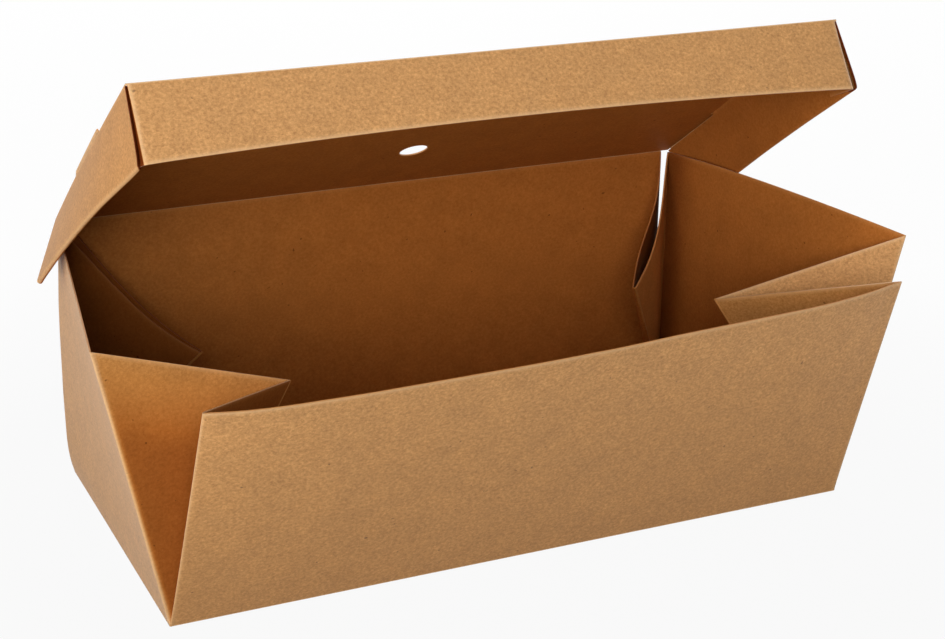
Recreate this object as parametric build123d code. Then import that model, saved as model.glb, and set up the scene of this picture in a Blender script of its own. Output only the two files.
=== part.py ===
from build123d import *
import os
from math import cos, radians, sin, sqrt

# A takeaway box folded from one sheet of plain kraft board, with its lid standing part open.
# The lid turns on the crease along the top of the rear wall, so the sheet is two bodies
# that meet at that crease: the tray and the lid.
# Lengths are in millimetres and angles in degrees. +Z is up, the front faces -Y, +X is the
# right end, and the origin is the middle of the base's underside.

# The sheet
board = 0.45            # thickness of the board
crease_radius = 0.25    # rounded back of a scored fold
crease_inset = 0.8      # where folds meet at a corner, each one's rounding begins this far from it
fold_inset = 2.0        # the same for the webs' diagonal creases
hinge_gap = 0.3         # space left between the tray and the lid at their crease

# The tray
base_length = 205.0
base_depth = 105.0
front_height = 77.5     # base crease to top edge, along the wall
side_height_front = 79.6  # the same, at a side wall's front end
side_height_rear = 78.3   # and at its rear end
side_arch_left = 1.6    # extra height at the middle of a side wall
side_arch_right = 3.2
rear_height = 79.7      # base crease to lid crease
front_lean_left = 23.7  # the front wall falls open, more at its left end
front_lean_middle = 25.1
front_lean_right = 18.4
side_lean_left = 12.7   # outward lean of the side walls at their front ends
side_lean_right = 14.3
side_lean_rear = 0.6    # and at their rear ends, where the rear wall holds them
side_bow_left = 0.5     # outward bow of a side wall's top edge
side_bow_right = -5.0
rear_lean = -1.0        # the rear wall tips a little forward under the lid

# The folded corner webs
front_web_reach = 69.7  # base corner to the tip of the diagonal crease
front_web_split = 45.5  # angle between the diagonal crease and the side wall's front edge
front_fold_radius = 0.4  # rounded back of the diagonal crease
rear_web_reach = 65.9
rear_web_rise = 44.8    # angle of the rear diagonal crease above level
rear_web_turn = 49.7    # its plan angle, from the rear wall's line towards the front
rear_fold_pitch = 0.9   # between the two layers of a rear web, at their fold
rear_fold_radius = 0.75  # rounded back of that fold
rear_scoop_side = 5.0   # hollow of the rear webs' top edges
rear_scoop_rear = 3.0
corner_cut_side = 3.5   # the base's rear corners are blunt, which sets the web's layers apart
corner_cut_rear = 0.8

# The lid
lid_open = 34.2         # angle of the lid above level
lid_spread = 3.8        # the lid is this much longer than the base, between its side creases
lid_overhang = 1.2      # and this much deeper, from hinge crease to front crease
flap_height = 21.2      # lid crease to flap edge
front_flap_hollow = 2.4  # the front flap's free edge is cut to a shallow arch
vent_diameter = 8.7
vent_from_hinge = 29.8
layer_pitch = 1.2       # between the two layers of a rolled side flap
inner_layer_start = 0.6  # top of the inner layer, below the lid crease
flap_front_slant = 0.11
flap_rear_inset = 2.0   # side flap's rear end, forward of the hinge crease
flap_rear_slant = 0.22
tab_depth = 18.0        # corner tabs of the front flap, held between the layers
tab_height = 16.0
tab_top = 1.5
tongue_rear = 34.0      # lock tongue of the inner layer, distances from the hinge
tongue_front = 76.5
tongue_rise = 1.4       # tongue's edge above the lid crease
tongue_root = 3.0
slot_width = 1.5
slot_margin = 0.5       # slot beyond each end of the tongue
# Outward splay of the side flaps, as (share of the way from the hinge to the front, angle)
left_splay = ((0.995, 0.0), (0.876, 4.5), (0.772, 9.6), (0.65, 13.8), (0.49, 17.8), (0.282, 22.0), (0.019, 26.0))
right_splay = ((0.995, 0.5), (0.706, 2.0), (0.471, 6.4), (0.358, 9.6), (0.282, 12.0), (0.019, 19.0))

half_board = board / 2
half_length = base_length / 2
half_depth = base_depth / 2
lid_length = base_length + lid_spread
lid_depth = base_depth + lid_overhang
floor_height = half_board       # middle of the base's thickness
up = Vector(0, 0, 1)


def upright(angle, outward):
    """Direction of a wall's edge that leans outward by an angle."""
    return up * cos(radians(angle)) + outward * sin(radians(angle))


def plate(*edges):
    """Flat panel of board whose middle plane is bounded by the edges."""
    return extrude(Face(Wire(edges)), amount=half_board, both=True)


def curved_panel(low_edge, high_edge):
    """Panel of board whose middle surface is ruled between two edges."""
    return thicken(Face.make_surface_from_curves(low_edge, high_edge), amount=half_board, both=True)


def crease(start, end, radius=crease_radius, inset=crease_inset, leave=0.0):
    """Rounded back of a fold, from just beyond the start by inset to just short of the end by leave."""
    along = (end - start).normalized()
    foot = start + along * inset
    return Solid.make_cylinder(radius, (end - foot).length - leave, Plane(origin=foot, z_dir=along))


def fold_tip(corner, edge_a, edge_b, split, reach, inward):
    """End of a diagonal crease that lies between two wall edges and is folded inward."""
    near = cos(radians(split))
    far = cos(radians(90 - split))
    between = edge_a.dot(edge_b)
    along_a = (near - between * far) / (1 - between ** 2)
    along_b = (far - between * near) / (1 - between ** 2)
    flat = edge_a * along_a + edge_b * along_b
    normal = edge_a.cross(edge_b).normalized()
    if normal.dot(inward) < 0:
        normal = normal * -1
    return corner + (flat + normal * sqrt(1 - flat.dot(flat))) * reach


def scooped(corner, start, end, depth):
    """Concave edge between two points, hollowed towards the corner."""
    chord = (end - start).normalized()
    middle = (start + end) * 0.5
    towards = corner - middle
    towards = (towards - chord * towards.dot(chord)).normalized()
    return ThreePointArc(start, middle + towards * depth, end)


# Tray: the base and its four walls, then the corner webs and a rounded back along each fold
hinge_stop = crease_radius + hinge_gap      # tray's rear wall ends this far below the lid crease
front_lean = {-1: front_lean_left, 1: front_lean_right}
side_lean = {-1: side_lean_left, 1: side_lean_right}
side_bow = {-1: side_bow_left, 1: side_bow_right}
side_arch = {-1: side_arch_left, 1: side_arch_right}
forward = Vector(0, -1, 0)
rear_up = upright(rear_lean, forward * -1)
front_foot = {}
front_top = {}
rear_foot = {}
rear_top = {}
for side in (-1, 1):
    front_foot[side] = Vector(side * half_length, -half_depth, floor_height)
    front_top[side] = front_foot[side] + upright(front_lean[side], forward) * front_height
    rear_foot[side] = Vector(side * (half_length - corner_cut_rear), half_depth, floor_height)
    rear_top[side] = rear_foot[side] + rear_up * (rear_height - hinge_stop)

base = Pos(0, 0, floor_height) * Box(base_length, base_depth, board)
for side in (-1, 1):
    blunt = Polyline((side * half_length, half_depth), (side * half_length, half_depth - corner_cut_side),
                     (side * (half_length - corner_cut_rear), half_depth), close=True)
    base -= extrude(make_face(blunt), amount=board)
front_middle = Vector(0, -half_depth, floor_height) + upright(front_lean_middle, forward) * front_height
front_wall = curved_panel(Edge.make_line(front_foot[-1], front_foot[1]),
                          Edge.make_three_point_arc(front_top[-1], front_middle, front_top[1]))
rear_wall = plate(Line(rear_foot[-1], rear_foot[1]), Line(rear_foot[1], rear_top[1]),
                  Line(rear_top[1], rear_top[-1]), Line(rear_top[-1], rear_foot[-1]))
tray_pieces = [front_wall, rear_wall]

for side in (-1, 1):
    outward = Vector(side, 0, 0)
    front_edge = upright(front_lean[side], forward)
    side_front_edge = upright(side_lean[side], outward)
    side_rear_foot = Vector(side * half_length, half_depth - corner_cut_side, floor_height)
    side_front_top = front_foot[side] + side_front_edge * side_height_front
    side_rear_top = side_rear_foot + upright(side_lean_rear, outward) * side_height_rear
    side_middle = (side_front_top + side_rear_top) * 0.5 + outward * side_bow[side] + up * side_arch[side]
    tray_pieces.append(curved_panel(
        Edge.make_line(front_foot[side], side_rear_foot),
        Edge.make_three_point_arc(side_front_top, side_middle, side_rear_top)))

    front_tip = fold_tip(front_foot[side], side_front_edge, front_edge, front_web_split,
                         front_web_reach, Vector(-side, 1, 0))
    for wall_top in (side_front_top, front_top[side]):
        tray_pieces.append(plate(Line(front_foot[side], wall_top), Line(wall_top, front_tip),
                                 Line(front_tip, front_foot[side])))
        tray_pieces.append(crease(front_foot[side], wall_top))
    tray_pieces.append(crease(front_foot[side], front_tip, front_fold_radius, fold_inset))

    turn = radians(rear_web_turn)
    fold_line = Vector(-side * cos(turn), -sin(turn), 0)
    fold_across = Vector(side * sin(turn), -cos(turn), 0) * (rear_fold_pitch / 2)
    fold_foot = (side_rear_foot + rear_foot[side]) * 0.5
    rear_tip = fold_foot + upright(90 - rear_web_rise, fold_line) * rear_web_reach
    for foot, wall_top, apart, scoop in (
            (side_rear_foot, side_rear_top, fold_across, rear_scoop_side),
            (rear_foot[side], rear_top[side], fold_across * -1, rear_scoop_rear)):
        layer_tip = rear_tip + apart
        tray_pieces.append(plate(Line(foot, wall_top), scooped(foot, wall_top, layer_tip, scoop),
                                 Line(layer_tip, foot)))
        tray_pieces.append(crease(foot, wall_top))
    tray_pieces.append(crease(fold_foot, rear_tip, rear_fold_radius))
    tray_pieces.append(crease(front_foot[side], side_rear_foot, leave=crease_inset))

tray_pieces.append(crease(front_foot[-1], front_foot[1], leave=crease_inset))
tray_pieces.append(crease(rear_foot[-1], rear_foot[1], leave=crease_inset))
tray = base
for piece in tray_pieces:
    tray = tray.fuse(piece)
tray -= Pos(0, 0, -board) * Box(base_length * 2, base_depth * 2, 2 * board)

# Lid: built shut about its crease, then opened. Its own frame has the crease as the X axis,
# -Y towards the front and Z out of the lid's top.
half_lid = lid_length / 2


def splay_at(table, distance):
    """Splay angle at a distance from the hinge, between the table's entries."""
    entries = sorted((share * lid_depth, angle) for share, angle in table)
    if distance <= entries[0][0]:
        return entries[0][1]
    for (near, near_angle), (far, far_angle) in zip(entries, entries[1:]):
        if distance <= far:
            return near_angle + (far_angle - near_angle) * (distance - near) / (far - near)
    return entries[-1][1]


def flap_point(side, distance, splay, out, down):
    """Point of a side flap: out of its face and down from its crease, at a splay angle."""
    tilt = radians(splay)
    across = half_lid + out * cos(tilt) + down * sin(tilt)
    rise = out * sin(tilt) - down * cos(tilt)
    return Vector(side * across, -distance, rise)


def rolled_section(side, table, distance, slant):
    """Section of a side flap: an outer layer, a round turn and an inner layer."""
    turn = flap_height - layer_pitch / 2 - half_board   # centre of the turn below the crease
    middle = -layer_pitch / 2
    outer_turn = layer_pitch / 2 + half_board
    inner_turn = layer_pitch / 2 - half_board

    def at(out, down):
        return flap_point(side, distance + slant * down, splay_at(table, distance), out, down)

    inner_out = middle - outer_turn
    inner_in = middle - inner_turn
    return Wire([
        Edge.make_line(at(half_board, 0), at(half_board, turn)),
        Edge.make_three_point_arc(at(half_board, turn), at(middle, turn + outer_turn), at(inner_out, turn)),
        Edge.make_line(at(inner_out, turn), at(inner_out, inner_layer_start)),
        Edge.make_line(at(inner_out, inner_layer_start), at(inner_in, inner_layer_start)),
        Edge.make_line(at(inner_in, inner_layer_start), at(inner_in, turn)),
        Edge.make_three_point_arc(at(inner_in, turn), at(middle, turn + inner_turn), at(-half_board, turn)),
        Edge.make_line(at(-half_board, turn), at(-half_board, 0)),
        Edge.make_line(at(-half_board, 0), at(half_board, 0)),
    ])


def tab_section(side, table, distance):
    """Section of a corner tab, midway between the layers of a side flap."""
    middle = -layer_pitch / 2
    low = tab_top + tab_height
    corners = [flap_point(side, distance, splay_at(table, distance), out, down)
               for out, down in ((middle + half_board, tab_top), (middle + half_board, low),
                                 (middle - half_board, low), (middle - half_board, tab_top))]
    return Wire.make_polygon(corners, close=True)


lid_panel = Pos(0, -lid_depth / 2, 0) * Box(lid_length, lid_depth, board)
lid_panel -= Pos(0, -vent_from_hinge, 0) * Cylinder(vent_diameter / 2, 4 * board)
slot_length = tongue_front - tongue_rear + 2 * slot_margin
slot_middle = (tongue_front + tongue_rear) / 2
lid_pieces = []
tab_edge = half_lid - layer_pitch / 2       # front flap's side folds, in line with its tabs
front_left = Vector(-tab_edge, -lid_depth, 0)
front_right = Vector(tab_edge, -lid_depth, 0)
drop = up * -flap_height
flap_arch = Vector(0, -lid_depth, front_flap_hollow - flap_height)
lid_pieces.append(plate(Line(front_left, front_right), Line(front_right, front_right + drop),
                        ThreePointArc(front_right + drop, flap_arch, front_left + drop),
                        Line(front_left + drop, front_left)))
lid_pieces.append(crease(Vector(-half_lid, -lid_depth, 0), Vector(half_lid, -lid_depth, 0), leave=crease_inset))
hinge_end = Vector(half_length - corner_cut_rear, 0, 0)
lid_pieces.append(crease(hinge_end * -1, hinge_end, leave=crease_inset))

for side, table in ((-1, left_splay), (1, right_splay)):
    slot_centre = half_lid - half_board - slot_width / 2
    lid_panel -= Pos(side * slot_centre, -slot_middle, 0) * Box(slot_width, slot_length, 4 * board)
    stations = sorted(share * lid_depth for share, angle in table)
    sections = []
    for distance in stations:
        slant = 0.0
        if distance == stations[0]:
            slant = flap_rear_slant
        if distance == stations[-1]:
            slant = -flap_front_slant
        sections.append(rolled_section(side, table, distance, slant))
    lid_pieces.append(Solid.make_loft(sections, ruled=True))
    lid_pieces.append(crease(Vector(side * half_lid, -flap_rear_inset, 0), Vector(side * half_lid, -lid_depth, 0)))

    tab_steps = [lid_depth] + [step for step in stations[::-1] if lid_depth - tab_depth < step < lid_depth]
    tab_steps.append(lid_depth - tab_depth)
    lid_pieces.append(Solid.make_loft([tab_section(side, table, step) for step in tab_steps], ruled=True))
    lid_pieces.append(crease(Vector(side * tab_edge, -lid_depth, -tab_top),
                             Vector(side * tab_edge, -lid_depth, -tab_top - tab_height)))

    lean = splay_at(table, slot_middle)
    tongue = [flap_point(side, tongue_rear, lean, -layer_pitch, down) for down in (-tongue_rise, tongue_root)]
    tongue += [flap_point(side, tongue_front, lean, -layer_pitch, down) for down in (tongue_root, -tongue_rise)]
    lid_pieces.append(extrude(Face(Wire.make_polygon(tongue, close=True)), amount=half_board, both=True))

lid = lid_panel
for piece in lid_pieces:
    lid = lid.fuse(piece)
hinge = rear_foot[-1] + rear_up * rear_height
lid = Location((0, hinge.Y, hinge.Z), (-lid_open, 0, 0)) * lid

os.makedirs("parts", exist_ok=True)
for node, shape in (("tray", tray), ("lid", lid)):
    solids = shape.solids()
    print(node, len(solids), "solid", round(sum(solid.volume for solid in solids), 1), "mm3")
    shape.label = node
    export_step(shape, "parts/" + node + ".step")
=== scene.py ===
import bpy
import numpy as np
from mathutils import Matrix, Vector


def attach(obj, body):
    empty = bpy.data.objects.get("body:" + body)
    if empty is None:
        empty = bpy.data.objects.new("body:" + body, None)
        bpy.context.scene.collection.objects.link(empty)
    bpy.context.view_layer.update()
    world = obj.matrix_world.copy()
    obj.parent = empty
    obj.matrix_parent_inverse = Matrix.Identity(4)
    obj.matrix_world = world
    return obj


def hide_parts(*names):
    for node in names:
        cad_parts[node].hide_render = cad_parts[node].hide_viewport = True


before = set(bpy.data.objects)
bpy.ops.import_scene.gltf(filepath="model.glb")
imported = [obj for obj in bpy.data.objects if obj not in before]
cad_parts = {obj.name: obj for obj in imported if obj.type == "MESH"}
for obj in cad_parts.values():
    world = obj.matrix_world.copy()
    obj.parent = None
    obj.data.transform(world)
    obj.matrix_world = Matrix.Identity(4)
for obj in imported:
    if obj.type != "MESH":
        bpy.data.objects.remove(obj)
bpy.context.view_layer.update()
print("frame loaded:", ", ".join(sorted(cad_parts)))

# Sheet: lengths in mm. A shade is painted shade: it darkens a face's colour by how far the face is
# closed to light, from 0 for open outside faces to 1 for narrow gaps.
mm = 0.001
sheet = {
    "board": 0.45,
    "crease": 0.26,                     # rounded back of a scored fold
    "wear": 0.8, "wearWidth": 0.7,      # paler rubbed band along folds and cut edges
    # painted shade of the box's inside faces
    "insideShade": 0.59,
    "boxCentre": (0.0, 0.0, 60.0),
    "askew": (0.31, 0.17, 0.93),        # a direction that no fold runs along
}
halfBoard = sheet["board"] / 2
up = np.array([0.0, 0.0, 1.0])
forward = np.array([0.0, -1.0, 0.0])
mirrored = np.array([-1, 1, 1])         # left for right


# Unit vectors along the last axis
def unit(vectors):
    return vectors / np.maximum(np.linalg.norm(vectors, axis=-1, keepdims=True), 1e-9)


# Direction of a wall that leans outward by an angle: cosine up, sine outward
def upright(angle, outward):
    angle = np.radians(np.asarray(angle, float))[..., None]
    return np.cos(angle) * up + np.sin(angle) * np.asarray(outward, float)


# Bell curve of a distance: the height times e to the power of minus (distance / width) squared
def bell(distance, height, width):
    return height * np.exp(-(distance / width) ** 2)


# Steps from 0 to 1 that crowd together at both ends: a smooth step of even steps, mixed with even ones
def crowded(count, share=0.75):
    even = np.linspace(0.0, 1.0, count)
    return (1 - share) * even + share * even * even * (3 - 2 * even)


# Steps from 0 to 1 that crowd together at 0: a power of even steps
def crowdedStart(count, power=1.8):
    return np.linspace(0.0, 1.0, count) ** power


# Table of value against place, averaged over a short stretch to round its corners
def smoothTable(table, places, reach, samples=15):
    knots, values = np.array(table).T
    spread = np.linspace(-reach, reach, samples)
    return np.interp(np.asarray(places)[..., None] + spread, knots, values).mean(-1)


# Sheet of board from the grid of its middle surface: both faces lie half the board away along the
# grid's normal, and a strip round the border is the cut edge, but for the first row, which is a fold.
# A face that looks towards the centre is the box's inside. The two shade arguments are painted
# shade: the inner one on the inside faces, the other on the outside faces.
def boardFrom(middle, wear=None, centre=sheet["boxCentre"], pocketShade=0.0, inner=sheet["insideShade"]):
    across, along = middle.shape[:2]
    normal = unit(np.cross(np.gradient(middle, axis=0), np.gradient(middle, axis=1)))
    count = across * along
    vertices = np.concatenate([middle + halfBoard * normal, middle - halfBoard * normal]).reshape(-1, 3)
    index = np.arange(count).reshape(across, along)
    quads = np.stack([index[:-1, :-1], index[1:, :-1], index[1:, 1:], index[:-1, 1:]], -1).reshape(-1, 4)
    ring = np.concatenate([index[:-1, 0], index[-1, :-1], index[:0:-1, -1], index[0, :0:-1]])
    following = np.roll(ring, -1)
    rim = np.stack([ring, ring + count, following + count, following], -1)
    faces = np.concatenate([quads, quads[:, ::-1] + count, rim])
    folded = 2 * len(quads) + across - 1
    slots = np.concatenate([np.zeros(folded, int), np.ones(len(faces) - folded, int)])
    worn = np.zeros((across, along)) if wear is None else wear
    facing = np.sum(normal * (np.asarray(centre) - middle), axis=-1) > 0
    # painted shade: each face takes the inner or the outside value by the way it looks
    shade = np.stack([np.where(facing, inner, pocketShade), np.where(facing, pocketShade, inner)])
    return {"vertices": vertices, "faces": faces.tolist(), "slots": slots,
            "wear": np.tile(worn.reshape(-1), 2), "shade": shade.reshape(-1)}


# Closed profile carried along a path: one ring of points per station, with a flat end at each side
def carried(rings, wear, shade):
    stations, around = rings.shape[:2]
    index = np.arange(stations * around).reshape(stations, around)
    turned = np.roll(index, -1, axis=1)
    quads = np.stack([index[:-1], turned[:-1], turned[1:], index[1:]], -1).reshape(-1, 4)
    points = rings.reshape(-1, 3) - rings.reshape(-1, 3).mean(0)
    a, b, c = points[quads[:, 0]], points[quads[:, 1]], points[quads[:, 2]]
    ends = np.stack([index[0, ::-1], index[-1]])
    if np.sum(a * np.cross(b, c)) < 0:      # the volume's sign tells which way the faces look
        quads, ends = quads[:, ::-1], ends[:, ::-1]
    faces = quads.tolist() + ends.tolist()
    return {"vertices": rings.reshape(-1, 3), "faces": faces, "slots": np.zeros(len(faces), int),
            "wear": wear.reshape(-1), "shade": shade.reshape(-1)}


# Rounded back of a straight fold: a circle carried from start to end
def foldBack(start, end, radius, worn=1.0, shade=0.0, stations=24, around=10):
    along = unit(end - start)
    side = unit(np.cross(along, sheet["askew"]))
    other = np.cross(along, side)
    angle = np.linspace(0.0, 2 * np.pi, around, endpoint=False)[:, None]
    circle = radius * (np.cos(angle) * side + np.sin(angle) * other)
    centres = start + np.linspace(0.0, 1.0, stations)[:, None] * (end - start)
    level = np.ones((stations, around))
    return carried(centres[:, None, :] + circle[None], worn * level, shade * level)


# One mesh from several sheets, in metres. Its slots are board, cut edge, inside and soft board, and a
# board face becomes soft board or inside by its shade.
def makePiece(name, sheets, materials, smoothAngle=0.7):
    starts = np.cumsum([0] + [len(part["vertices"]) for part in sheets])
    vertices = np.concatenate([part["vertices"] for part in sheets]) * mm
    faces = [[corner + int(start) for corner in face]
             for part, start in zip(sheets, starts) for face in part["faces"]]
    mesh = bpy.data.meshes.new(name)
    mesh.from_pydata(vertices.tolist(), [], faces)
    for material in materials:
        mesh.materials.append(material)
    points = {label: np.concatenate([part[label] for part in sheets]) for label in ("wear", "shade")}
    faceShade = points["shade"][[face[0] for face in faces]]
    slotByShade = np.array([0, 3, 2])[np.searchsorted((kraft["softFrom"], kraft["insideFrom"]), faceShade)]
    slots = np.concatenate([part["slots"] for part in sheets])
    slots = np.where(slots == 0, slotByShade, slots)
    mesh.polygons.foreach_set("material_index", slots.astype(np.int32))
    mesh.polygons.foreach_set("use_smooth", np.ones(len(faces), bool))
    for label, values in points.items():
        layer = mesh.attributes.new(label, "FLOAT", "POINT")
        layer.data.foreach_set("value", values.astype(np.float32))
    mesh.update()
    mesh.set_sharp_from_angle(angle=smoothAngle)
    piece = bpy.data.objects.new(name, mesh)
    bpy.context.scene.collection.objects.link(piece)
    return piece


# Kraft board: brown and matt, with fibre mottling and a few dark specks. Noise scales are per metre.
# Stops pair a noise level or a shade with a grey level or a colour.
kraft = {
    "fibre": {"scale": 1300.0, "detail": 5.0, "roughness": 0.74, "stretch": (0.85, 1.0, 1.0)},
    "fibreStops": ((0.31, (0.372, 0.166, 0.046)), (0.50, (0.535, 0.265, 0.086)),
                   (0.69, (0.700, 0.373, 0.139))),
    # where shade is painted, the fibre mottling is calmed towards the mid colour
    "calm": (0.535, 0.265, 0.086), "calmStops": ((0.0, 0.0), (0.3, 0.45)),      # the inside looks smoother
    "cloud": {"scale": 130.0, "detail": 4.0, "roughness": 0.6},
    "cloudStops": ((0.30, 0.92), (0.70, 1.06)),
    "speck": {"scale": 750.0, "detail": 0.0},
    "speckColour": (0.150, 0.066, 0.022), "speckStops": ((0.85, 0.0), (0.88, 0.7)),
    "worn": (0.740, 0.470, 0.240), "wornStops": ((0.0, 0.0), (1.0, 0.75)),
    "cutEdge": (0.640, 0.365, 0.160), "cutEdgeShare": 0.75,
    # painted shade: the colour is multiplied by these tints by the face's shade
    "paintedShadeTints": ((0.0, (1.0, 1.0, 1.0)), (0.3, (0.97, 0.82, 0.62)),
              (0.6, (0.76, 0.50, 0.28)), (1.0, (0.24, 0.085, 0.035))),          # open, sheltered, inside, gap
    "roughness": 0.62, "sheenRoughness": 0.4,
    "specular": 0.50, "sheen": 0.11,        # gloss, and the pale fuzz of fibres at a low angle
    "softFrom": 0.09, "specularSoft": 0.24, "sheenSoft": 0.05,      # less of both from this shade on
    "insideFrom": 0.15, "specularInside": 0.03,                     # next to none from this shade on
    "bump": 0.12, "bumpDepth": 0.0003,
}


def addNode(tree, kind, **settings):
    node = tree.nodes.new(kind)
    for key, value in settings.items():
        if key in node.inputs:
            node.inputs[key].default_value = value
        else:
            setattr(node, key, value)
    return node


def noise(tree, coords, scale, detail, roughness=0.5, stretch=(1.0, 1.0, 1.0)):
    mapping = addNode(tree, "ShaderNodeMapping", Scale=stretch)
    tree.links.new(coords, mapping.inputs["Vector"])
    texture = addNode(tree, "ShaderNodeTexNoise", Scale=scale, Detail=detail, Roughness=roughness)
    tree.links.new(mapping.outputs["Vector"], texture.inputs["Vector"])
    return texture.outputs["Fac"]


def attribute(tree, label):
    return addNode(tree, "ShaderNodeAttribute", attribute_name=label).outputs["Fac"]


def grey(level):
    return (level, level, level)


def ramp(tree, value, stops):
    node = tree.nodes.new("ShaderNodeValToRGB")
    while len(node.color_ramp.elements) < len(stops):
        node.color_ramp.elements.new(0.5)
    for element, (place, colour) in zip(node.color_ramp.elements, stops):
        element.position = place
        element.color = (*colour, 1.0)
    tree.links.new(value, node.inputs["Fac"])
    return node.outputs["Color"]


def greyRamp(tree, value, stops):
    return ramp(tree, value, [(place, grey(level)) for place, level in stops])


def mix(tree, factor, first, second, blendType="MIX"):
    node = addNode(tree, "ShaderNodeMix", data_type="RGBA", blend_type=blendType)
    for socket, value in ((node.inputs[0], factor), (node.inputs[6], first), (node.inputs[7], second)):
        if isinstance(value, (int, float)):
            socket.default_value = value
        elif isinstance(value, tuple):
            socket.default_value = (*value, 1.0)
        else:
            tree.links.new(value, socket)
    return node.outputs[2]


def makeKraft(name, specular, sheen, isCut=False):
    material = bpy.data.materials.new(name)
    material.use_nodes = True
    tree = material.node_tree
    shader = tree.nodes["Principled BSDF"]
    coords = tree.nodes.new("ShaderNodeTexCoord").outputs["Object"]
    cloud = noise(tree, coords, **kraft["cloud"])
    fibre = noise(tree, coords, **kraft["fibre"])
    speck = noise(tree, coords, **kraft["speck"])
    # The shade attribute paints shade into the colour: it calms the mottling and darkens it by the tints
    shade = attribute(tree, "shade")
    colour = ramp(tree, fibre, kraft["fibreStops"])
    colour = mix(tree, greyRamp(tree, shade, kraft["calmStops"]), colour, kraft["calm"])
    colour = mix(tree, 1.0, colour, greyRamp(tree, cloud, kraft["cloudStops"]), "MULTIPLY")
    colour = mix(tree, greyRamp(tree, speck, kraft["speckStops"]), colour, kraft["speckColour"])
    if isCut:
        colour = mix(tree, kraft["cutEdgeShare"], colour, kraft["cutEdge"])
    else:
        rubbed = greyRamp(tree, attribute(tree, "wear"), kraft["wornStops"])
        colour = mix(tree, rubbed, colour, kraft["worn"])
    colour = mix(tree, 1.0, colour, ramp(tree, shade, kraft["paintedShadeTints"]), "MULTIPLY")
    tree.links.new(colour, shader.inputs["Base Color"])
    shader.inputs["Roughness"].default_value = kraft["roughness"]
    shader.inputs["Specular IOR Level"].default_value = specular
    shader.inputs["Sheen Weight"].default_value = sheen
    shader.inputs["Sheen Roughness"].default_value = kraft["sheenRoughness"]
    bump = addNode(tree, "ShaderNodeBump", Strength=kraft["bump"], Distance=kraft["bumpDepth"])
    tree.links.new(fibre, bump.inputs["Height"])
    tree.links.new(bump.outputs["Normal"], shader.inputs["Normal"])
    return material


kraftBoard = makeKraft("kraftBoard", kraft["specular"], kraft["sheen"])
cutEdge = makeKraft("cutEdge", kraft["specular"], kraft["sheen"], isCut=True)
kraftInside = makeKraft("kraftInside", kraft["specularInside"], 0.0)
kraftSoft = makeKraft("kraftSoft", kraft["specularSoft"], kraft["sheenSoft"])
boardLooks = (kraftBoard, cutEdge, kraftInside, kraftSoft)
print("board materials made")

# Tray: sizes in mm and degrees. The main ones are the solid's, and the bulge, the webs' swells and
# scoops and the bends are soft relief of this script's own. Sides are -1 for left and 1 for right.
tray = {
    "length": 205.0, "depth": 105.0,
    "frontHeight": 77.5,
    "frontLean": ((-1.0, 23.7), (-0.93, 24.8), (-0.82, 25.4), (-0.6, 25.6), (-0.14, 25.1), (0.12, 24.4),
                  (0.25, 23.7), (0.47, 22.9), (0.71, 22.0), (0.88, 20.4), (1.0, 18.3)),
    "leanBlend": 0.06,
    "sideHeight": (79.6, 78.3), "sideLean": {-1: 12.7, 1: 14.3}, "sideLeanRear": 0.6,
    "sideBow": {-1: 0.5, 1: -5.0}, "sideArch": {-1: 1.6, 1: 3.2},
    "rearLift": {-1: 0.0, 1: 1.2},      # rear top corners
    "sideBulge": {-1: 2.7, 1: 0.0},     # rear end of a side wall, outward between its foot and its top
    "bulgeRise": ((0.0, 0.0), (0.03, 0.4), (0.09, 0.75), (0.15, 0.9), (0.34, 1.0), (0.59, 0.94),
                  (0.71, 0.84), (1.0, 0.3)),
    "bulgeBlend": 0.02, "bulgeFoot": 0.05,
    "rearHeight": 79.7, "rearLean": -1.0, "hingeStop": 0.28,
    "frontReach": 69.7, "frontSplit": 45.5,
    "rearReach": 65.9, "rearRise": 44.8, "rearTurn": 49.7, "rearPitch": 0.9,
    "cutSide": 3.5, "cutRear": 0.8,
    "webLength": 62.0,
    "sideScoop": 3.0, "sideSkew": 1.5, "sideSwell": {-1: 0.0, 1: 2.1}, "swellSkew": 1.2,
    "rearScoop": 3.0, "rearSkew": 1.2, "rearSwell": {-1: 0.0, 1: 1.0}, "rearSway": 0.45,
    "bend": {"front": (1.6, 0.8), "side": (0.7, 1.6), "rear": (0.8, 0.8)},      # fold sizes at both ends
    "bendEase": 0.85,
    # painted shade on the diagonal fold's back, as on the inside
    "webFold": {"radius": 0.36, "worn": 0.2, "shade": 0.3},     # back of a front web's diagonal fold
    "footCrease": 0.85, "hingeCrease": 1.1,                     # as shares of the sheet's crease
    "troughDepth": 0.8,
    "rearWear": 0.5,
}
# Painted shade of the tray's faces by place, darker in pockets, folds and gaps and on the inside
trayShade = {
    "frontWeb": {-1: 0.72, 1: 0.06}, "frontWebFade": (1.12, 0.45),      # ends at and fades over, as heights
    "sideRearWeb": 0.75, "rearWeb": 0.85,
    # painted shade: a dark band on the side walls' inside along each rear fold, in the corner's valley
    "fold": {-1: (0.38, 70.0), 1: (0.26, 9.5)},     # side walls' inside, depth and reach from the rear folds
    "foldBand": 4.0, "foldDark": 0.15,
    "sideWebInside": {-1: 0.77, 1: 0.32},
    # painted shade along the rear wall's inside: less at its left end, which is painted lighter, more to the
    # right
    "rearInside": ((-1.0, 0.48), (-0.6, 0.54), (0.0, 0.61), (0.8, 0.64)), "rearBlend": 0.1,
    # painted shadow: the left rear web, seen within its fold, is painted nearly black
    "rearWebInside": {-1: 0.97, 1: 0.59},           # the left one is seen within its fold
    "frontWebInside": 0.2,                          # on the right, where it stands open
    # painted shade on the front wall's outside, darker towards its foot
    "frontFoot": 0.085,                             # front wall's outside, none at its top
    "trough": 0.3,
}
halfLength = tray["length"] / 2
halfDepth = tray["depth"] / 2
floorHeight = halfBoard
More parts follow.
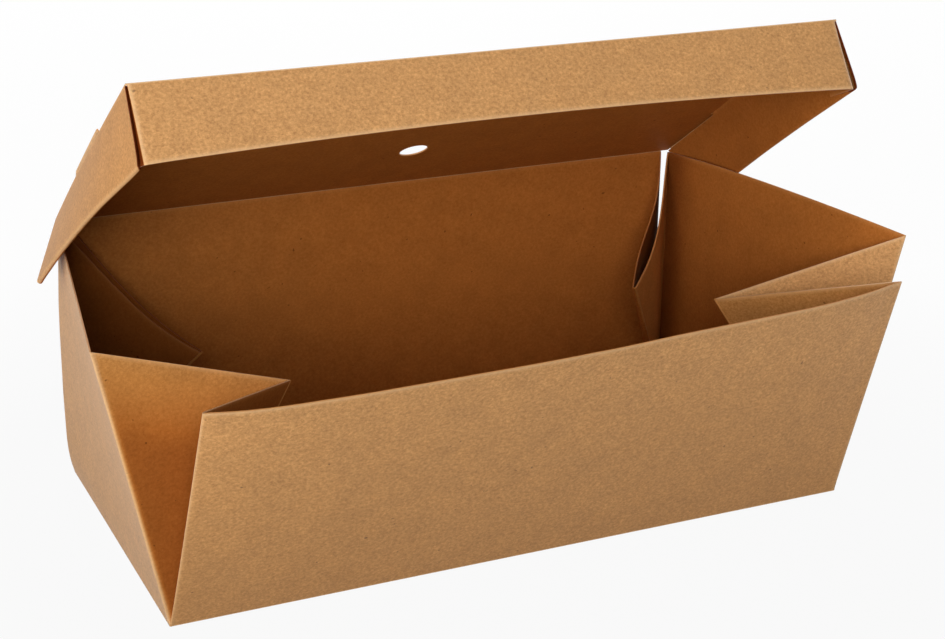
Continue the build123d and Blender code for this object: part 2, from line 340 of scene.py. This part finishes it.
rearUp = upright(tray["rearLean"], -forward)
footCrease = sheet["crease"] * tray["footCrease"]

# Steps of the grids: up a wall, along it, and out along a web
rows = np.concatenate([[0.002], np.linspace(0.01, 0.97, 44), [0.982, 0.990, 0.995, 1.0]])
wallSteps = crowded(110, 0.9)
wallPlaces = 2 * wallSteps - 1
webSteps = crowdedStart(26)[1:]
webCount = len(webSteps)
lift = rows[None, :, None]

# Web without any shape of its own
flatWeb = {"scoop": 0.0, "skew": 1.0, "swell": 0.0}


# Line from a foot to a top, in the rows' steps
def rowLine(foot, top):
    return foot + rows[:, None] * (top - foot)


# Grid of a wall with a folded web at each end. Every row goes from one web's far edge to its fold,
# across the wall, and from the other fold to the other web's far edge. A scoop draws a web's points
# towards its foot by a skewed parabola, and a swell moves them sideways, more so up the web. A corner
# in a row is rounded to a hyperbola: each point moves towards the inside of the bend by half of
# (sqrt(d2 + r2) - d), where d is its distance from the fold and r the bend's size. That size grows
# with the square root of the height, eases off by a fourth power towards the top edge and is at most
# 0.6 of the web's length.
def webbedWall(wall, farStart, farEnd, bends, webs=(flatWeb, flatWeb), ease=0.0):
    startFold, endFold = wall[0], wall[-1]

    def web(fold, far, form):
        skewed = webSteps ** form["skew"]
        dip = 1.0 - form["scoop"] * 4 * skewed * (1 - skewed)
        straight = fold[None] + webSteps[:, None, None] * (far - fold)[None]
        return fold[0] + dip[:, None, None] * (straight - fold[0]) + lift * form["swell"]

    grid = np.concatenate([web(startFold, farStart, webs[0])[::-1], wall, web(endFold, farEnd, webs[1])])
    wear = np.zeros(grid.shape[:2])
    for fold, far, inner, bend in ((startFold, farStart, wall[1], bends[0]),
                                   (endFold, farEnd, wall[-2], bends[1])):
        distance = np.linalg.norm(grid - fold[None], axis=-1)
        length = np.linalg.norm(far - fold, axis=-1)
        radius = np.minimum(bend * rows ** 0.5 * (1 - ease * rows ** 4), 0.6 * length)
        inward = unit(far - fold) + unit(inner - fold)
        grid = grid + ((np.sqrt(distance ** 2 + radius ** 2) - distance) / 2)[..., None] * inward[None]
        wear += bell(distance, sheet["wear"], sheet["wearWidth"]) / max(1.0, bend)
    return grid, wear


# Worn band along a grid's last row, its cut edge
def edgeWear(grid, wear):
    gap = np.linalg.norm(grid - grid[:, -1:], axis=-1)
    return np.maximum(wear, bell(gap, sheet["wear"], sheet["wearWidth"]))


# End of a diagonal crease between two wall edges, folded inward: its angles to the two edges are
# split and 90 - split
def foldTip(corner, edgeA, edgeB, split, reach, inward):
    near, far = np.cos(np.radians(split)), np.cos(np.radians(90 - split))
    between = edgeA @ edgeB
    flat = (edgeA * (near - between * far) + edgeB * (far - between * near)) / (1 - between ** 2)
    normal = unit(np.cross(edgeA, edgeB))
    normal = normal * np.sign(normal @ inward)
    return corner + (flat + normal * np.sqrt(1 - flat @ flat)) * reach


# Foot and top edge of the front wall, which leans by an angle that changes along it
def frontLines():
    lean = smoothTable(tray["frontLean"], wallPlaces, tray["leanBlend"])
    level = np.ones_like(wallPlaces)
    foot = np.stack([halfLength * wallPlaces, -halfDepth * level, floorHeight * level], -1)
    return foot, foot + tray["frontHeight"] * upright(lean, forward)


# Foot and top edge of the rear wall, which stops just short of the hinge crease
def rearLines():
    level = np.ones_like(wallPlaces)
    foot = np.stack([wallPlaces * (halfLength - tray["cutRear"]), halfDepth * level, floorHeight * level], -1)
    return foot, foot + rearUp * (tray["rearHeight"] - tray["hingeStop"])


# Corners of a side wall: front and rear foot, front and rear top
def sideCorners(side):
    outward = np.array([side, 0.0, 0.0])
    footFront = np.array([side * halfLength, -halfDepth, floorHeight])
    footRear = np.array([side * halfLength, halfDepth - tray["cutSide"], floorHeight])
    frontHeight, rearHeight = tray["sideHeight"]
    topFront = footFront + frontHeight * upright(tray["sideLean"][side], outward)
    topRear = footRear + (rearHeight + tray["rearLift"][side]) * upright(tray["sideLeanRear"], outward)
    return footFront, footRear, topFront, topRear


# Tip of a rear corner's fold, half of the step between its two layers, and the fold's level direction
def rearFold(side):
    turn, rise = np.radians(tray["rearTurn"]), np.radians(tray["rearRise"])
    foot = np.array([side * (halfLength - tray["cutRear"] / 2), halfDepth - tray["cutSide"] / 2, floorHeight])
    inward = np.array([-side * np.cos(turn), -np.sin(turn), 0.0])
    across = np.array([side * np.sin(turn), -np.cos(turn), 0.0]) * tray["rearPitch"] / 2
    tip = foot + tray["rearReach"] * (np.cos(rise) * inward + np.sin(rise) * up)
    return tip, across, inward


# Base, which narrows at its rear corners, where the sheet is cut clear for the folds
def baseSheet():
    depthSteps = tray["depth"] * crowded(50)
    fromCut = depthSteps - (tray["depth"] - tray["cutSide"])
    wide = halfLength - tray["cutRear"] * np.clip(fromCut / tray["cutSide"], 0, 1)
    x = wallPlaces[:, None] * wide[None, :]
    y = np.broadcast_to(depthSteps[None, :] - halfDepth, x.shape)
    return boardFrom(np.stack([x, y, np.full_like(x, floorHeight)], -1))


# Side wall with its halves of the front and rear webs. Its top edge is a parabola, and its rear end
# bulges outward by the square of the way back.
def sideSheet(side, corners, frontTip, rearTip, away):
    footFront, footRear, topFront, topRear = corners
    outward = np.array([side, 0.0, 0.0])
    foot = footFront + wallSteps[:, None] * (footRear - footFront)
    arch = (4 * wallSteps * (1 - wallSteps))[:, None]
    top = topFront + wallSteps[:, None] * (topRear - topFront)
    top = top + arch * (tray["sideBow"][side] * outward + tray["sideArch"][side] * up)
    wall = foot[:, None] + lift * (top - foot)[:, None]
    bulgeRise = smoothTable(tray["bulgeRise"], rows, tray["bulgeBlend"]) * rows ** tray["bulgeFoot"]
    bulge = tray["sideBulge"][side] * wallSteps[:, None] ** 2 * bulgeRise
    wall = wall + bulge[..., None] * outward
    sway = np.sin(np.pi * webSteps[:, None, None] ** tray["swellSkew"])
    rearWeb = {"scoop": tray["sideScoop"] / tray["webLength"], "skew": tray["sideSkew"],
               "swell": tray["sideSwell"][side] * sway * away}
    grid, wear = webbedWall(wall, rowLine(footFront, frontTip), rowLine(wall[-1, 0], rearTip),
                            tray["bend"]["side"], (flatWeb, rearWeb), tray["bendEase"])

    # Painted shade: front web's outside darker low down, rear web's outside dark, inside darker by the rear
    # fold
    fadeEnd, fadeOver = trayShade["frontWebFade"]
    fade = np.clip((fadeEnd - rows) / fadeOver, 0, 1)
    fromFold = np.linalg.norm(grid[:webCount] - wall[:1], axis=-1)
    pocketShade = np.zeros(grid.shape[:2])
    pocketShade[:webCount] = trayShade["frontWeb"][side] * fade * (1 - bell(fromFold, 1.0, 1.0))
    pocketShade[-webCount:] = trayShade["sideRearWeb"]
    depth, spread = trayShade["fold"][side]
    band = trayShade["foldBand"]
    fromRear = np.linalg.norm(grid - wall[-1:], axis=-1)
    inner = sheet["insideShade"] + bell(np.maximum(fromRear - band, 0), depth, spread)
    inner[-webCount:] = (trayShade["sideWebInside"][side]
                         + bell(fromRear[-webCount:], trayShade["foldDark"], band))
    centres = np.tile(np.array(sheet["boxCentre"]), grid.shape[:2] + (1,))
    centres[-webCount:] = grid[-webCount:] + away       # the rear web's inside looks along its wall
    order = slice(None, None, side)
    return boardFrom(grid[order], edgeWear(grid, wear)[order], centres[order], pocketShade[order], inner[order])


# Trough that joins a corner's two rear webs along their fold: a parabola from one to the other
def troughSheet(side, sideLine, rearLine, inward):
    spread = np.linspace(0, 1, 9)[:, None, None]
    sag = 4 * spread * (1 - spread) * tray["troughDepth"]
    trough = sideLine + spread * (rearLine - sideLine) + sag * inward
    # painted shade on the trough's outside
    part = boardFrom(trough if side > 0 else trough[::-1], pocketShade=trayShade["trough"])
    part["slots"][:] = 0        # it has no cut edge
    return part


# Front wall with its halves of the front webs
def frontSheet(foot, top, tips):
    wall = foot[:, None] + lift * (top - foot)[:, None]
    grid, wear = webbedWall(wall, rowLine(foot[0], tips[-1]), rowLine(foot[-1], tips[1]),
                            tray["bend"]["front"])
    # Painted shade: the right front web's inside lighter, the wall's outside darker towards its foot
    inner = np.full(grid.shape[:2], sheet["insideShade"])
    inner[-webCount:] = trayShade["frontWebInside"]
    pocketShade = np.broadcast_to(trayShade["frontFoot"] * (1 - rows), grid.shape[:2])
    return boardFrom(grid, edgeWear(grid, wear), pocketShade=pocketShade, inner=inner)


# Rear wall with its halves of the rear webs
def rearSheet(foot, top, tips, webs):
    wall = foot[:, None] + lift * (top - foot)[:, None]
    grid, wear = webbedWall(wall, rowLine(foot[0], tips[-1]), rowLine(foot[-1], tips[1]),
                            tray["bend"]["rear"], (webs[-1], webs[1]), tray["bendEase"])
    # Painted shade: dark on the webs' outside, by place on the inside, the left web nearly black and without
    # pale wear
    pocketShade = np.zeros(grid.shape[:2])
    pocketShade[:webCount] = pocketShade[-webCount:] = trayShade["rearWeb"]
    inner = smoothTable(trayShade["rearInside"], grid[..., 0] / halfLength, trayShade["rearBlend"])
    inner[:webCount] = trayShade["rearWebInside"][-1]
    inner[-webCount:] = trayShade["rearWebInside"][1]
    worn = tray["rearWear"] * edgeWear(grid, wear)
    worn[:webCount] = 0.0
    return boardFrom(grid[::-1], worn[::-1], pocketShade=pocketShade[::-1], inner=inner[::-1])


def makeTray():
    frontFoot, frontTop = frontLines()
    rearFoot, rearTop = rearLines()
    frontTips, rearTips, rearWebs = {}, {}, {}
    parts, folds = [baseSheet()], []
    for side, end in ((-1, 0), (1, -1)):
        corners = sideCorners(side)
        footFront, footRear, topFront = corners[:3]
        frontTips[side] = foldTip(footFront, unit(topFront - footFront), unit(frontTop[end] - frontFoot[end]),
                                  tray["frontSplit"], tray["frontReach"], np.array([-side, 1.0, 0.0]))
        tip, across, inward = rearFold(side)
        rearTips[side] = tip - across
        away = np.array([-side * inward[1], side * inward[0], 0.0])      # sideways from the folded web
        sway = webSteps[:, None, None] * np.pi
        rearWebs[side] = {"scoop": tray["rearScoop"] / tray["webLength"], "skew": tray["rearSkew"],
                          "swell": tray["rearSwell"][side] * away
                          * (np.sin(2 * sway) + tray["rearSway"] * np.sin(sway))}
        parts.append(sideSheet(side, corners, frontTips[side], tip + across, away))
        parts.append(troughSheet(side, rowLine(footRear, tip + across),
                                 rowLine(rearFoot[end], rearTips[side]), inward))
        folds.append(foldBack(footFront, frontTips[side], **tray["webFold"]))
        folds.append(foldBack(footFront, footRear, footCrease))
    parts.append(frontSheet(frontFoot, frontTop, frontTips))
    parts.append(rearSheet(rearFoot, rearTop, rearTips, rearWebs))
    folds.append(foldBack(frontFoot[0], frontFoot[-1], footCrease))
    folds.append(foldBack(rearFoot[0], rearFoot[-1], footCrease))
    hingeEnd = rearFoot[-1] + rearUp * tray["rearHeight"]
    folds.append(foldBack(hingeEnd * mirrored, hingeEnd, sheet["crease"] * tray["hingeCrease"]))
    piece = makePiece("trayBoard", parts + folds, boardLooks)
    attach(piece, "tray")
    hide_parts("tray")
    return piece


makeTray()
print("tray made")

# Lid: sizes in mm and degrees. The main ones are the solid's, and the tongues, the tabs and the flaps'
# ends differ a little. Its own frame has the hinge crease as the X axis, the front at -Y and its top
# at +Z.
lid = {
    "open": 34.2, "length": 208.8, "depth": 106.2, "flap": 21.2,
    "hollow": 2.4,                          # the front flap's lower edge, in its middle
    "centre": (0.0, -53.0, -30.0),
    "hingeEdge": 0.15, "cornerCut": 0.02,
    "ventWidth": 8.7, "ventFromHinge": 29.8, "ventWear": 0.5,
    "pitch": 1.2, "innerStart": 0.6,        # rolled side flaps: layer spacing, top of the inner layer
    "rearInset": 2.0, "rearSlant": {-1: 0.05, 1: 0.22}, "rearRound": 0.9,
    "frontInset": 0.3, "frontSlant": {-1: 0.03, 1: 0.1}, "frontRound": 1.0, "roundPower": 14,
    "innerSetback": 1.8, "flapTrim": {-1: 0.0, 1: 0.6},
    "splay": {-1: ((0.019, 26.0), (0.282, 22.0), (0.49, 17.8), (0.65, 13.8), (0.772, 9.6), (0.876, 4.5),
                   (0.995, 0.0)),
              1: ((0.019, 19.0), (0.282, 12.0), (0.358, 9.6), (0.471, 6.4), (0.706, 4.2), (0.995, 6.0))},
    "splayBlend": 0.07,
    "creaseBow": {-1: 0.6, 1: 0.0}, "creaseStart": {-1: 79.65, 1: 2.0},     # rounded back, from the hinge
    "turnWear": (0.7, 0.7), "endWear": (0.6, 0.5), "creaseWear": (0.6, 0.6),    # height and width
    "tabDepth": 18.0, "tabTop": 0.3, "tabHeight": 17.2,
    "tongueRear": 34.0, "tongueFront": 71.0, "tongueRise": 1.9, "tongueRoot": 3.0, "tongueLean": 0.75,
    "tongueStart": 0.35, "tongueSlope": 5.0,
    "slotWidth": 1.5, "slotMargin": 0.5, "slotStep": 0.9,
    "bend": (1.3, 1.3),
    # painted shade: a little on the left flap's outside, more on the flaps' inside and the panel's underside
    "flapShade": {-1: 0.10, 1: 0.0}, "flapInside": 0.66, "panelInside": 0.62,
}
halfLid = lid["length"] / 2
hinge = np.array([0.0, halfDepth, floorHeight]) + tray["rearHeight"] * rearUp


# Lid's frame to the box's: a turn about the hinge by the opening angle
def opened(points):
    swing = np.radians(lid["open"])
    x, y, z = points[..., 0], points[..., 1], points[..., 2]
    turned = np.stack([x, y * np.cos(swing) + z * np.sin(swing), z * np.cos(swing) - y * np.sin(swing)], -1)
    return turned + hinge


def openedPart(part):
    part["vertices"] = opened(part["vertices"])
    return part


# Splay of a side flap along the lid's depth
def splayAt(side, distance):
    return smoothTable(lid["splay"][side], np.asarray(distance) / lid["depth"], lid["splayBlend"])


# Outward bow of a side crease: a parabola from hinge to front
def creaseAt(side, distance):
    share = np.clip(np.asarray(distance) / lid["depth"], 0, 1)
    return halfLid + lid["creaseBow"][side] * 4 * share * (1 - share)


# Point of a side flap: out of its face and down from its crease, turned outward by the splay
def flapPoint(side, distance, out, down):
    tilt = np.radians(splayAt(side, distance))
    across = creaseAt(side, distance) + out * np.cos(tilt) + down * np.sin(tilt)
    rise = out * np.sin(tilt) - down * np.cos(tilt)
    return np.stack(np.broadcast_arrays(side * across, -distance, rise), -1)


# Rolled side flap: a closed profile (outer layer, round turn, inner layer) carried from rear to front.
# The ends slant with the way down, and a high power of it rounds their lower corners.
def rolledFlap(side):
    pitch = lid["pitch"]
    middle, big, small = -pitch / 2, pitch / 2 + halfBoard, pitch / 2 - halfBoard
    turn = lid["flap"] - lid["flapTrim"][side] - big
    fall = crowded(22, 0.8)
    flat = np.ones_like(fall)
    swing = np.linspace(0, np.pi, 13)[1:-1]
    inner = lid["innerStart"] + fall * (turn - lid["innerStart"])
    out = np.concatenate([flat * halfBoard, middle + big * np.cos(swing), flat * (-pitch - halfBoard),
                          flat * (-pitch + halfBoard), middle - small * np.cos(swing), flat * -halfBoard])
    down = np.concatenate([fall * turn, turn + big * np.sin(swing), inner[::-1],
                           inner, turn + small * np.sin(swing), fall[::-1] * turn])
    rounding = (down / lid["flap"]) ** lid["roundPower"]
    rear = lid["rearInset"] + lid["rearSlant"][side] * down + lid["rearRound"] * rounding
    front = (lid["depth"] - lid["frontInset"] - lid["frontSlant"][side] * down
             - lid["frontRound"] * rounding)
    front = front - lid["innerSetback"] * np.clip(-out / pitch, 0, 1)      # the inner layer ends further back
    distance = rear + crowded(70, 0.5)[:, None] * (front - rear)
    rings = flapPoint(side, distance, out[None, :], down[None, :])
    fromEnd = np.minimum(distance - rear, front - distance)
    worn = bell(down - lid["flap"], *lid["turnWear"])[None, :] + bell(fromEnd, *lid["endWear"])
    worn = worn + bell(down, *lid["creaseWear"])[None, :]
    worn[-1] = 0.0
    # Painted shade: the inner layer darker, the left outer layer a little, the front end dark as a shadow
    shade = np.tile(np.where(out < middle, lid["flapInside"], lid["flapShade"][side]), (len(worn), 1))
    shade[-1] = 1.0         # the front end lies in the corner's shadow
    return openedPart(carried(rings, np.clip(worn, 0, 1), shade))


# Lid panel: a flat ring of board from the round vent out to the panel's outline, which steps in
# along the lock slots
def lidPanel():
    slotRear = lid["tongueRear"] - lid["slotMargin"]
    slotFront = lid["tongueFront"] + lid["slotMargin"]
    slotIn = halfBoard + lid["slotWidth"]

    def straightRun(start, end, count=60):
        return np.asarray(start) + np.linspace(0, 1, count, endpoint=False)[:, None] * np.subtract(end, start)

    def sideRun(side):
        behind = np.linspace(lid["hingeEdge"], slotRear, 14)
        beside = np.linspace(slotRear, slotFront, 22)
        ahead = np.linspace(slotFront + lid["slotStep"], lid["depth"] - lid["cornerCut"], 14)[:-1]
        along = np.concatenate([behind, beside, ahead])
        inset = np.concatenate([np.zeros_like(behind), np.full_like(beside, slotIn), np.zeros_like(ahead)])
        return np.stack([side * (creaseAt(side, along) - inset), along], -1)

    right, left = sideRun(1), sideRun(-1)
    frontEnd = halfLid - lid["cornerCut"]
    frontRun = straightRun((frontEnd, lid["depth"]), (-frontEnd, lid["depth"]))
    rearRun = straightRun((left[0, 0], lid["hingeEdge"]), (right[0, 0], lid["hingeEdge"]))[1:]
    outline = np.concatenate([right, frontRun, left[::-1], rearRun])
    centre = np.array([0.0, lid["ventFromHinge"]])
    vent = centre + unit(outline - centre) * lid["ventWidth"] / 2
    flat = vent[:, None] + crowdedStart(20, 1.6)[None, :, None] * (outline - vent)[:, None]
    count, steps = flat.shape[:2]
    points = np.stack([flat[..., 0], -flat[..., 1], np.full((count, steps), halfBoard)], -1)
    vertices = np.concatenate([points, points * [1, 1, -1]]).reshape(-1, 3)
    under = count * steps
    index = np.arange(under).reshape(count, steps)
    after = np.roll(index, -1, axis=0)
    top = np.stack([index[:, :-1], after[:, :-1], after[:, 1:], index[:, 1:]], -1).reshape(-1, 4)
    hole = np.stack([index[:, 0], index[:, 0] + under, after[:, 0] + under, after[:, 0]], -1)
    border = np.stack([index[:, -1], after[:, -1], after[:, -1] + under, index[:, -1] + under], -1)
    faces = np.concatenate([top, top[:, ::-1] + under, hole, border])
    slots = np.concatenate([np.zeros(2 * len(top), int), np.ones(2 * count, int)])
    worn = np.zeros((count, steps))
    worn[:, 0] = lid["ventWear"]
    # painted shade on the panel's underside
    shade = np.repeat([0.0, lid["panelInside"]], under)
    return openedPart({"vertices": vertices, "faces": faces.tolist(), "slots": slots,
                       "wear": np.tile(worn.reshape(-1), 2), "shade": shade})


# Front flap with a tab folded back at each end, between the layers of the side flaps. Its lower edge
# is a parabola.
def frontFlap():
    edge = halfLid - lid["pitch"] / 2
    drop = lid["flap"] - lid["hollow"] * (1 - wallPlaces ** 2)
    wall = np.stack(np.broadcast_arrays((edge * wallPlaces)[:, None], -lid["depth"],
                                        -drop[:, None] * rows[None, :]), -1)
    tabEnd = np.full_like(rows, lid["depth"] - lid["tabDepth"])
    tabDown = lid["tabTop"] + rows * lid["tabHeight"]
    tabs = [flapPoint(side, tabEnd, -lid["pitch"] / 2, tabDown) for side in (-1, 1)]
    grid, wear = webbedWall(wall, *tabs, lid["bend"])
    # Painted shadow: each tab is painted dark but for the steps next to its fold
    shadowedTabSteps = webCount - 2       # a tab is in the light only next to its fold
    pocketShade = np.zeros(grid.shape[:2])
    pocketShade[:shadowedTabSteps] = pocketShade[-shadowedTabSteps:] = 1.0
    return openedPart(boardFrom(grid, edgeWear(grid, wear), lid["centre"], pocketShade))


# Lock tongue: a strip of the inner layer that stands up through its slot and slopes at its rear end
def lockTongue(side):
    along = crowded(30)
    rise = -lid["tongueRise"] * np.minimum(1.0, lid["tongueSlope"] * along + lid["tongueStart"])
    down = lid["tongueRoot"] + np.linspace(0, 1, 8)[None, :] * (rise - lid["tongueRoot"])[:, None]
    distance = lid["tongueRear"] + along * (lid["tongueFront"] - lid["tongueRear"])
    out = lid["tongueLean"] * np.maximum(0.0, -down) - lid["pitch"]
    grid = flapPoint(side, np.broadcast_to(distance[:, None], down.shape), out, down)
    return openedPart(boardFrom(grid, edgeWear(grid, np.zeros(down.shape)), lid["centre"]))


def makeLid():
    parts = [lidPanel(), frontFlap()]
    for side in (-1, 1):
        parts.append(rolledFlap(side))
        parts.append(lockTongue(side))
        creaseEnds = np.array([[side * halfLid, -lid["creaseStart"][side], 0.0],
                               [side * halfLid, -lid["depth"], 0.0]])
        parts.append(foldBack(*opened(creaseEnds), sheet["crease"]))
    corner = np.array([halfLid, -lid["depth"], 0.0])
    parts.append(foldBack(opened(corner * mirrored), opened(corner), sheet["crease"]))
    piece = makePiece("lidBoard", parts, boardLooks)
    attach(piece, "lid")
    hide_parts("lid")
    return piece


makeLid()
print("lid made")

# Floor: a pale matt surface with a painted shadow round the box's foot, a darker grey there. To the
# camera and in gloss it is lifted towards white, so that it meets the white background and keeps the box's
# shadow.
floorLook = {
    "half": 3.0,
    # painted shadow: grey by distance from the middle, darker near the box's foot
    "paintedFootShadow": ((0.14, 0.12), (0.27, 0.90)),       # grey by distance from the middle
    "roughness": 0.9,
    "lift": 0.94, "glow": 1.0,
}


# One for rays from the camera and from glossy faces, zero for the rest
def seenDirectly(tree):
    path = tree.nodes.new("ShaderNodeLightPath")
    either = addNode(tree, "ShaderNodeMath", operation="MAXIMUM")
    tree.links.new(path.outputs["Is Camera Ray"], either.inputs[0])
    tree.links.new(path.outputs["Is Glossy Ray"], either.inputs[1])
    return either.outputs[0]


def makeFloor():
    half = floorLook["half"]
    mesh = bpy.data.meshes.new("floor")
    corners = [(-half, -half, 0), (half, -half, 0), (half, half, 0), (-half, half, 0)]
    mesh.from_pydata(corners, [], [(0, 1, 2, 3)])
    floor = bpy.data.objects.new("floor", mesh)
    bpy.context.scene.collection.objects.link(floor)
    material = bpy.data.materials.new("paleFloor")
    material.use_nodes = True
    tree = material.node_tree
    shader = tree.nodes["Principled BSDF"]
    radius = addNode(tree, "ShaderNodeVectorMath", operation="LENGTH")
    tree.links.new(tree.nodes.new("ShaderNodeTexCoord").outputs["Object"], radius.inputs[0])
    paintedFootShadow = greyRamp(tree, radius.outputs["Value"], floorLook["paintedFootShadow"])
    tree.links.new(paintedFootShadow, shader.inputs["Base Color"])
    shader.inputs["Roughness"].default_value = floorLook["roughness"]
    glow = addNode(tree, "ShaderNodeEmission", Strength=floorLook["glow"])
    share = addNode(tree, "ShaderNodeMath", operation="MULTIPLY")
    share.inputs[1].default_value = floorLook["lift"]
    tree.links.new(seenDirectly(tree), share.inputs[0])
    blended = tree.nodes.new("ShaderNodeMixShader")
    tree.links.new(share.outputs[0], blended.inputs[0])
    tree.links.new(shader.outputs[0], blended.inputs[1])
    tree.links.new(glow.outputs[0], blended.inputs[2])
    tree.links.new(blended.outputs[0], tree.nodes["Material Output"].inputs["Surface"])
    mesh.materials.append(material)
    return floor


makeFloor()

# Light: a soft key on the left in two lamps, two in front, and a fill behind and on the right
lampAim = (0.0, 0.0, 0.06)
lamps = (
    {"name": "keyHigh", "place": (-1.14, -0.15, 0.86), "size": 0.5, "power": 5.2},
    {"name": "keyLow", "place": (-0.80, -0.76, 0.25), "size": 0.5, "power": 5.6},
    {"name": "front", "place": (0.28, -0.91, 1.08), "size": 0.5, "power": 1.9},
    {"name": "frontLow", "place": (-0.50, -1.22, 0.52), "size": 0.5, "power": 6.3},
    {"name": "back", "place": (0.35, 1.20, 0.80), "size": 0.8, "power": 11.0},
    {"name": "right", "place": (1.30, 0.25, 0.30), "size": 0.8, "power": 6.0},
)
for lamp in lamps:
    light = bpy.data.lights.new(lamp["name"], "AREA")
    light.size = lamp["size"]
    light.energy = lamp["power"]
    holder = bpy.data.objects.new(lamp["name"], light)
    holder.location = lamp["place"]
    aim = Vector(lampAim) - Vector(lamp["place"])
    holder.rotation_euler = aim.to_track_quat("-Z", "Y").to_euler()
    bpy.context.scene.collection.objects.link(holder)

# World: white where it is seen, and no light of its own on the box
world = bpy.data.worlds.new("studio")
bpy.context.scene.world = world
world.use_nodes = True
background = world.node_tree.nodes["Background"]
background.inputs["Color"].default_value = (1.0, 1.0, 1.0, 1.0)
world.node_tree.links.new(seenDirectly(world.node_tree), background.inputs["Strength"])

# Camera: the photograph's place and framing
shot = {
    "place": (-0.21636, -0.46755, 0.23988),
    "right": (0.92099, -0.38958, -0.00169),
    "up": (0.10384, 0.24130, 0.96488),
    "back": (-0.37549, -0.88882, 0.26269),
    "focalPixels": 1847.82,
    "centre": (390.03, 161.53),
    "image": (945.0, 639.0),
    "sensor": 36.0,
    "nearest": 0.01,
}
camera = bpy.data.cameras.new("camera")
wide, high = shot["image"]
camera.sensor_fit = "HORIZONTAL"
camera.sensor_width = shot["sensor"]
camera.lens = shot["focalPixels"] / wide * shot["sensor"]
camera.shift_x = (wide / 2 - shot["centre"][0]) / wide
camera.shift_y = (shot["centre"][1] - high / 2) / wide
camera.clip_start = shot["nearest"]
viewer = bpy.data.objects.new("camera", camera)
turn = Matrix((shot["right"], shot["up"], shot["back"])).transposed().to_4x4()
viewer.matrix_world = Matrix.Translation(shot["place"]) @ turn
bpy.context.scene.collection.objects.link(viewer)
bpy.context.scene.camera = viewer
bpy.context.scene.view_settings.view_transform = "Standard"
print("stage, lights and camera set")

bpy.context.view_layer.update()
